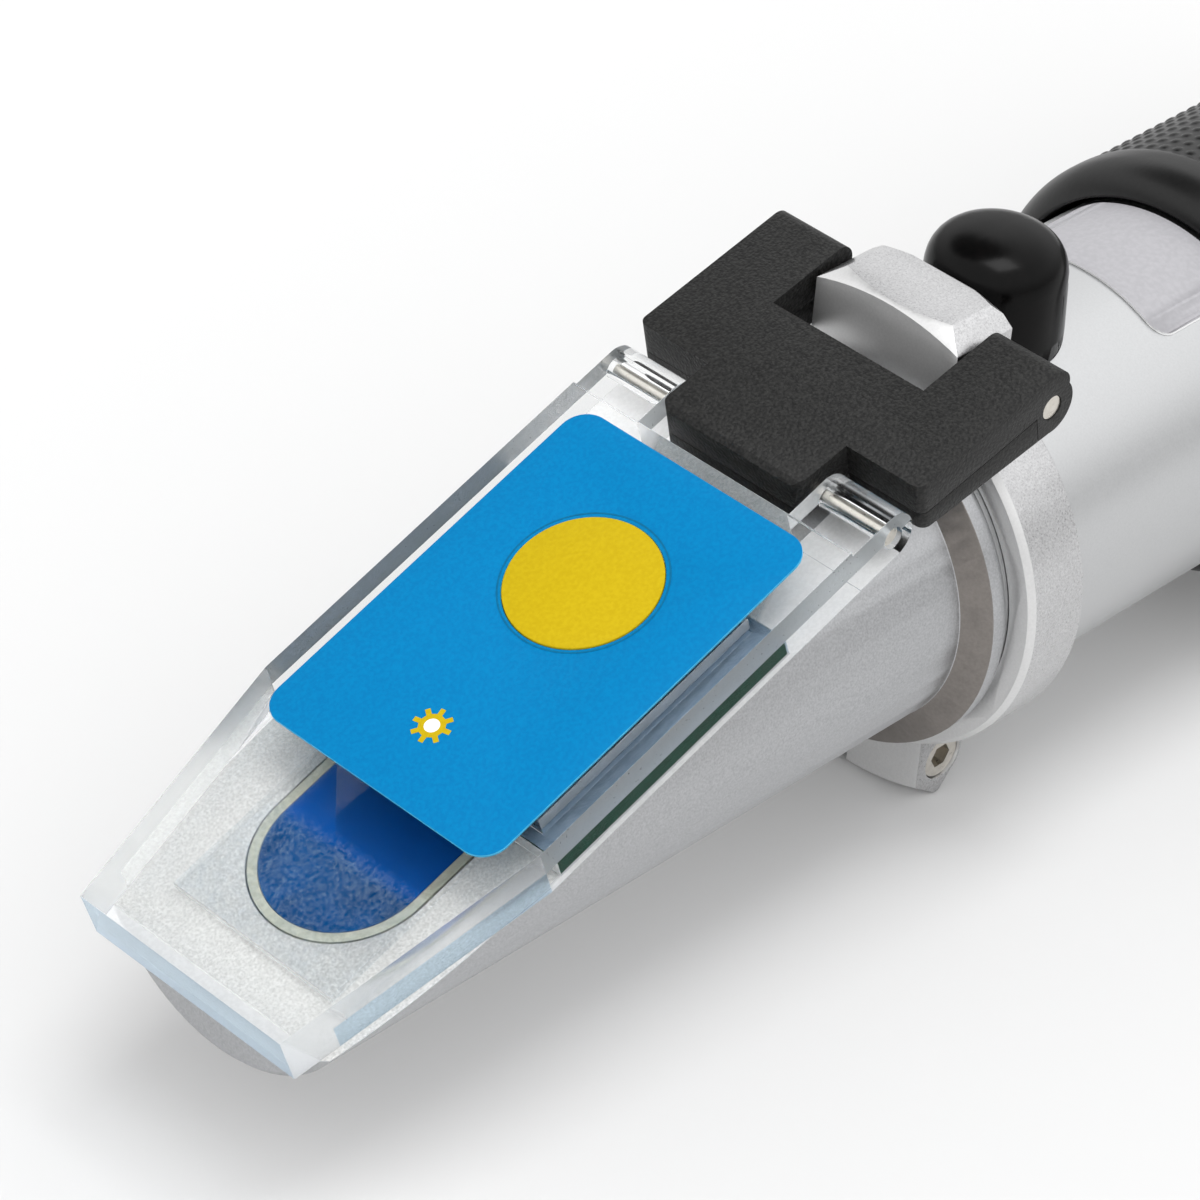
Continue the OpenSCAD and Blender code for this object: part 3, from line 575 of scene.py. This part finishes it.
# the sun: every other side of a disc is drawn out to a ray
sun = flatDisc(marks["sunRadius"], marks["sunRays"] * 2)
bpy.ops.mesh.select_all(action="DESELECT")
bpy.ops.object.mode_set(mode="OBJECT")
sides = [face for face in sun.data.polygons if abs(face.normal.z) < facing["loosely"]]
sides.sort(key=lambda face: Vector((face.center.x, face.center.y)).angle_signed(Vector((1, 0))))
for face in sides[::2]:
    face.select = True
bpy.ops.object.mode_set(mode="EDIT")
bpy.ops.mesh.extrude_faces_move(TRANSFORM_OT_shrink_fatten={"value": marks["sunRay"] * mm})
bpy.ops.object.mode_set(mode="OBJECT")
layOnLabel(sun, "sunMark", marks["sunDistance"], marks["height"], buttonYellow)
core = flatDisc(marks["coreRadius"], marks["coreSteps"])
bpy.ops.mesh.select_all(action="SELECT")
bpy.ops.mesh.bevel(offset=marks["coreEdge"] * mm, segments=1)
bpy.ops.object.mode_set(mode="OBJECT")
layOnLabel(core, "sunCore", marks["sunDistance"], marks["coreHeight"], inkWhite)

label = dressed("membrane_label", "labelFilmBlue", "plate", films["labelEdge"])
cover(label, labelBlue, labelEdge)
# painted highlight on the label's cut edges
finishFaces(label, labelEdge, lambda face: face.normal.dot(upFromPlate) < facing["well"])
buttonFilm = dressed("push_button", "buttonFilm", "button", films["buttonEdge"])
cover(buttonFilm, buttonYellow)
print("label done")


# clear plastic and glass: clear is the share of light that goes through, the rest scatters as in
# a sawn or ground face; grainMm is the saw's grain, wear how much its shine varies
def makeClear(name, colour, roughness, ior, clear=1.0, grainMm=None, depthMm=0.04, wear=0.15):
    material, tree, shader = newMaterial(name, Roughness=roughness, IOR=ior,
                                         Base_Color=hexToLinear(colour),
                                         Transmission_Weight=clear)
    if grainMm:
        place = addNode(tree, "ShaderNodeTexCoord").outputs["Object"]
        grain = addNode(tree, "ShaderNodeTexNoise", None,
                        {"Vector": place, "Scale": scaleFor(grainMm),
                         "Detail": 3.0}).outputs["Fac"]
        shine = addNode(tree, "ShaderNodeMapRange", None,
                        {"Value": grain, "From Min": 0.3, "From Max": 0.7,
                         "To Min": roughness - wear, "To Max": roughness + wear})
        bump = addNode(tree, "ShaderNodeBump", None,
                       {"Height": grain, "Strength": 0.4, "Distance": depthMm * mm})
        tree.links.new(shine.outputs["Result"], shader.inputs["Roughness"])
        tree.links.new(bump.outputs["Normal"], shader.inputs["Normal"])
    return material


# the housing is measured at its front, where it is round and plain
nose = {
    "plainLength": 1,
    "fadeInside": 0.1,  # the painted light on an etched face starts this far inside the housing's side
    "fadeOutside": 0.3,  # and is white this far outside it
    "fadeBehind": 0.2,  # ahead of the housing it is white too, and fades over this length behind
}
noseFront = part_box("prism_housing")[0][0]
housingNode = frame["nodes"]["prism_housing"]
housingPoints = [housingNode.matrix_world @ vertex.co for vertex in housingNode.data.vertices]
housingRadius = max(reach(point) for point in housingPoints
                    if point.x < noseFront + nose["plainLength"] * mm) * mm


# an etched face: most light goes straight through and a share scatters; where the face hangs over
# the housing's side or front its white share is raised, painted light that hides the floor's shade
# seen through it; between the two places of fade along X it turns clear; mottleMm is the size of
# its light and dark spots
def makeEtched(name, colour, least, most, paintedLightOverhang=0.0, fade=None, mottleMm=0.3):
    material, tree, shader = newMaterial(name, Roughness=0.6, Specular_IOR_Level=0.0,
                                         Base_Color=hexToLinear(colour))
    place = addNode(tree, "ShaderNodeTexCoord").outputs["Object"]
    grain = addNode(tree, "ShaderNodeTexNoise", None,
                    {"Vector": place, "Scale": scaleFor(mottleMm), "Detail": 2.0}).outputs["Fac"]
    share = addNode(tree, "ShaderNodeMapRange", None,
                    {"Value": grain, "From Min": 0.42, "From Max": 0.6,
                     "To Min": least, "To Max": most})
    fromAxis = addNode(tree, "ShaderNodeVectorMath", {"operation": "SUBTRACT"},
                       {0: place, 1: (0, 0, axisHeight)})
    across = addNode(tree, "ShaderNodeVectorMath", {"operation": "MULTIPLY"},
                     {0: fromAxis.outputs["Vector"], 1: (0, 1, 1)})
    distance = addNode(tree, "ShaderNodeVectorMath", {"operation": "LENGTH"},
                       {0: across.outputs["Vector"]})
    beyond = addNode(tree, "ShaderNodeMapRange", None,
                     {"Value": distance.outputs["Value"],
                      "From Min": housingRadius - nose["fadeInside"] * mm,
                      "From Max": housingRadius + nose["fadeOutside"] * mm,
                      "To Min": 0.0, "To Max": paintedLightOverhang})
    apart = addNode(tree, "ShaderNodeSeparateXYZ", None, {"Vector": place})
    ahead = addNode(tree, "ShaderNodeMapRange", None,
                    {"Value": apart.outputs["X"], "From Min": noseFront,
                     "From Max": noseFront + nose["fadeBehind"] * mm,
                     "To Min": paintedLightOverhang, "To Max": 0.0})
    # painted light: the white share is raised where the face hangs over the housing
    free = addNode(tree, "ShaderNodeMath", {"operation": "MAXIMUM"},
                   {0: beyond.outputs["Result"], 1: ahead.outputs["Result"]})
    share = addNode(tree, "ShaderNodeMath", {"operation": "ADD"},
                    {0: share.outputs["Result"], 1: free.outputs["Value"]})
    if fade:
        kept = addNode(tree, "ShaderNodeMapRange", {"interpolation_type": "SMOOTHSTEP"},
                       {"Value": apart.outputs["X"], "From Min": fade[0], "From Max": fade[1],
                        "To Min": 1.0, "To Max": 0.0})
        share = addNode(tree, "ShaderNodeMath", {"operation": "MULTIPLY"},
                        {0: share.outputs["Value"], 1: kept.outputs["Result"]})
    clear = addNode(tree, "ShaderNodeBsdfTransparent")
    mix = addNode(tree, "ShaderNodeMixShader", None,
                  {0: share.outputs["Value"], 1: clear.outputs["BSDF"],
                   2: shader.outputs["BSDF"]})
    tree.links.new(mix.outputs["Shader"], tree.nodes["Material Output"].inputs["Surface"])
    return material


# dark blue glass seen against its blackened far side, with a painted reflection: the label's
# underside, as mirrored in it, painted as a brighter band along its back
prismGlass = {
    "paintedReflectionStart": 2.4,  # ahead of the label's front edge
    "paintedReflectionEnd": 1.0,
    "cloud": 4.0,  # size of its slow changes of tone
    "dark": "#073C70",
    "light": "#0A4A86",
    # the painted reflection's colour
    "band": "#0450A0",
}


def makePrismBlue(name, paintedReflectionStart, paintedReflectionEnd):
    material, tree, shader = newMaterial(name, Roughness=0.5, Specular_IOR_Level=0.1)
    place = addNode(tree, "ShaderNodeTexCoord").outputs["Object"]
    cloud = addNode(tree, "ShaderNodeTexNoise", None,
                    {"Vector": place, "Scale": scaleFor(prismGlass["cloud"]),
                     "Detail": 2.0}).outputs["Fac"]
    tone = addNode(tree, "ShaderNodeValToRGB", None, {"Fac": cloud})
    setRamp(tone, [(0.35, hexToLinear(prismGlass["dark"])),
                   (0.65, hexToLinear(prismGlass["light"]))])
    apart = addNode(tree, "ShaderNodeSeparateXYZ", None, {"Vector": place})
    # painted reflection: a brighter band painted along the prism's back
    band = addNode(tree, "ShaderNodeMapRange", {"interpolation_type": "SMOOTHSTEP"},
                   {"Value": apart.outputs["X"], "From Min": paintedReflectionStart, "From Max": paintedReflectionEnd})
    mixed = addNode(tree, "ShaderNodeMix", {"data_type": "RGBA"},
                    {"Factor": band.outputs["Result"], "A": tone.outputs["Color"],
                     "B": hexToLinear(prismGlass["band"])})
    tree.links.new(mixed.outputs["Result"], shader.inputs["Base Color"])
    return material


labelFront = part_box("membrane_label")[0][0]
paintedReflectionPlaces = [labelFront - prismGlass[end] * mm for end in ("paintedReflectionStart", "paintedReflectionEnd")]
prismBlue = makePrismBlue("prism glass blue with painted reflection", *paintedReflectionPlaces)
opticalGlass = makeClear("glass coated", "#E8F2F4", roughness=0.02, ior=1.52)
clearAcrylic = makeClear("acrylic polished clear", "#FDFEFE", roughness=0.02, ior=1.49)
# the pad's mottle, bluish over the prism
etchedAcrylic = makeEtched("acrylic etched", "#B4D2EE", least=0.0, most=0.07, fade=paintedReflectionPlaces)
# the plate's underside round the pad is whiter, and where no housing lies behind it painted whiter
# still: painted light over the floor's shade seen through it
etchedUnderside = makeEtched("acrylic etched underside", "#FFFFFF",
                             least=0.13, most=0.17, paintedLightOverhang=0.38)
sawnAcrylic = makeClear("acrylic sawn edge frosted", "#A2A8AB", roughness=0.42, ior=1.49,
                        clear=0.6, grainMm=0.25)
# painted reflections: the front edge and the narrowing sides are painted with the blue of the label
# and prism that they mirror
frontEdgePaintedReflection = makeClear("acrylic front edge with painted reflection of the blue", "#9DBBD3",
                          roughness=0.15, ior=1.49, clear=0.75)
milkyAcrylic = makeClear("acrylic tip milky", "#E9ECEF", roughness=0.2, ior=1.49, clear=0.8)
sideEdgePaintedReflection = makeClear("acrylic side edge with painted reflection of the blue", "#A9CBE6",
                          roughness=0.05, ior=1.49)
# the two large faces mirror and bend less than real acrylic does, as the photo was taken
# without their glare
calmAcrylic = makeClear("acrylic large faces without glare", "#FDFEFE", roughness=0.02, ior=1.06)

clearPart = {
    "edge": 0.12,
    "steps": 2,
    "sharp": 35,  # edges turning more than this many degrees are rounded
    "facets": 9,  # degrees between faces that still shade as one
    "frostDepth": 2.1,  # sides are frosted from the top face down to here
    "frostFromTip": 3.6,  # and milky this near the front
    "undersideDepth": 4.0,  # the etched underside lies deeper than this
    "hingeFree": 20,  # this near the front, clear of the hinge eyes, its top is measured
    "largeLeast": 1,  # a large face is wider than this
}
plateNode = frame["nodes"]["daylight_plate"]
platePoints = [plateNode.matrix_world @ vertex.co for vertex in plateNode.data.vertices]
plateFront = max(point.dot(alongPlate) for point in platePoints)
plateTop = max(point.dot(upFromPlate) for point in platePoints
               if point.dot(alongPlate) > plateFront - clearPart["hingeFree"] * mm)
frostFloor = upFromPlate * (plateTop - clearPart["frostDepth"] * mm)
frostFront = alongPlate * (plateFront - clearPart["frostFromTip"] * mm)


# tests for the plate's faces: a side that narrows to the front isn't straight
def isSide(face):
    return abs(face.normal.y) > facing["mostly"]


def isStraight(face):
    return abs(face.normal.y) > facing["fully"]


def isHigh(face):
    return (face.center - frostFloor).dot(upFromPlate) > 0


def isTip(face):
    return (face.center - frostFront).dot(alongPlate) > 0


def isLargeFlat(face):
    return (abs(face.normal.dot(upFromPlate)) > facing["flat"]
            and face.area > (clearPart["largeLeast"] * mm) ** 2)


def isUnderside(face):
    depth = (plateTop - face.center.dot(upFromPlate)) / mm
    return face.normal.dot(upFromPlate) < -facing["flat"] and depth > clearPart["undersideDepth"]


plate = dressed("daylight_plate", "clearPlate", "plate", clearPart["edge"], clearPart["sharp"],
                clearPart["steps"], [(frostFloor, upFromPlate), (frostFront, alongPlate)],
                facets=clearPart["facets"])
cover(plate, clearAcrylic, sawnAcrylic, frontEdgePaintedReflection, milkyAcrylic, etchedUnderside,
      sideEdgePaintedReflection, calmAcrylic)
# its straight sides are frosted above and clear below, its narrowing sides milky above and below
# painted with a reflection of the blue, its front edge painted with a reflection of the label's
# blue; a later finish covers an earlier one
finishFaces(plate, calmAcrylic,
            lambda face: isLargeFlat(face) or isStraight(face) and not isHigh(face))
finishFaces(plate, sawnAcrylic, lambda face: isSide(face) and isHigh(face) and not isTip(face))
finishFaces(plate, sideEdgePaintedReflection,
            lambda face: isSide(face) and not isStraight(face) and not isHigh(face))
finishFaces(plate, frontEdgePaintedReflection, lambda face: face.normal.dot(alongPlate) > facing["closely"])
finishFaces(plate, milkyAcrylic,
            lambda face: isSide(face) and (isTip(face) or isHigh(face) and not isStraight(face)))
finishFaces(plate, etchedUnderside, isUnderside)
paint("contact_pad", etchedAcrylic)
paint("main_prism", prismBlue)
for nodeName in ("objective_lens", "eye_lens", "reticle_disc"):
    paint(nodeName, opticalGlass)
for nodeName in ("lens_carrier", "objective_retainer", "reticle_holder", "lens_barrel",
                 "eye_lens_retainer"):
    paint(nodeName, focusPlastic)
print("clear parts done")


# the studio: a white paper floor in a white light tent, dimmer at its foot, with one grey flag on
# its roof that keeps the plate and label from washing out; its lengths are in metres
studio = {
    "floorSize": 8.0,
    "floorHeight": -0.0002,
    "floorColour": "#DEDEDE",
    "tentFoot": 0.6,
    "tentLight": 1.35,
    "tentTop": 0.5,  # from here up the tent has its full light
    "flagShare": 0.12,  # what the flag leaves of the light
    "flagPlace": (0.12, 0.5, 0.857),  # the way to it
    "flagEdge": (0.86, 0.95),  # it starts and is full this square to that way
    "softboxes": {
        "roof": {"place": (-0.02, -0.12, 1.05), "size": 0.5, "power": 3.6},
    },
}
bpy.ops.mesh.primitive_plane_add(size=studio["floorSize"],
                                 location=(0, 0, studio["floorHeight"]))
floor = bpy.context.object
floor.name = "floor"
cover(floor, newMaterial("floor paper white", Roughness=0.9,
                         Base_Color=hexToLinear(studio["floorColour"]))[0])

world = bpy.data.worlds.new("studio")
bpy.context.scene.world = world
world.use_nodes = True
worldTree = world.node_tree
tent = addNode(worldTree, "ShaderNodeTexCoord").outputs["Generated"]
tentApart = addNode(worldTree, "ShaderNodeSeparateXYZ", None, {"Vector": tent})
tentWall = addNode(worldTree, "ShaderNodeMapRange", {"interpolation_type": "SMOOTHSTEP"},
                   {"Value": tentApart.outputs["Z"], "From Min": 0.0,
                    "From Max": studio["tentTop"],
                    "To Min": studio["tentFoot"], "To Max": studio["tentLight"]})
toFlag = addNode(worldTree, "ShaderNodeVectorMath", {"operation": "DOT_PRODUCT"},
                 {0: tent, 1: studio["flagPlace"]})
flag = addNode(worldTree, "ShaderNodeMapRange", {"interpolation_type": "SMOOTHSTEP"},
               {"Value": toFlag.outputs["Value"], "From Min": studio["flagEdge"][0],
                "From Max": studio["flagEdge"][1], "To Min": 1.0,
                "To Max": studio["flagShare"]})
tentLight = addNode(worldTree, "ShaderNodeMath", {"operation": "MULTIPLY"},
                    {0: tentWall.outputs["Result"], 1: flag.outputs["Result"]})
background = worldTree.nodes["Background"]
background.inputs["Color"].default_value = hexToLinear("#FFFFFF")
worldTree.links.new(tentLight.outputs["Value"], background.inputs["Strength"])
bpy.context.scene.view_settings.view_transform = "Standard"

for name, box in studio["softboxes"].items():
    bpy.ops.object.light_add(type="AREA", location=box["place"])
    softbox = bpy.context.object
    softbox.name = name
    softbox.data.size = box["size"]
    softbox.data.energy = box["power"]
    softbox.rotation_euler = (-Vector(box["place"])).to_track_quat("-Z", "Y").to_euler()

# the photo's own view, solved from its edges
view = {
    "place": (-0.25629, -0.18527, 0.23418),
    "turn": (53.397, -3.821, -45.386),
    "lens": 153.75,
    "sensor": 36,
    "clip": 0.01,
}
camera = bpy.data.objects.new("camera", bpy.data.cameras.new("camera"))
bpy.context.scene.collection.objects.link(camera)
camera.location = view["place"]
camera.rotation_euler = [radians(angle) for angle in view["turn"]]
camera.data.lens = view["lens"]
camera.data.sensor_width = view["sensor"]
camera.data.clip_start = view["clip"]
bpy.context.scene.camera = camera
print("studio built")
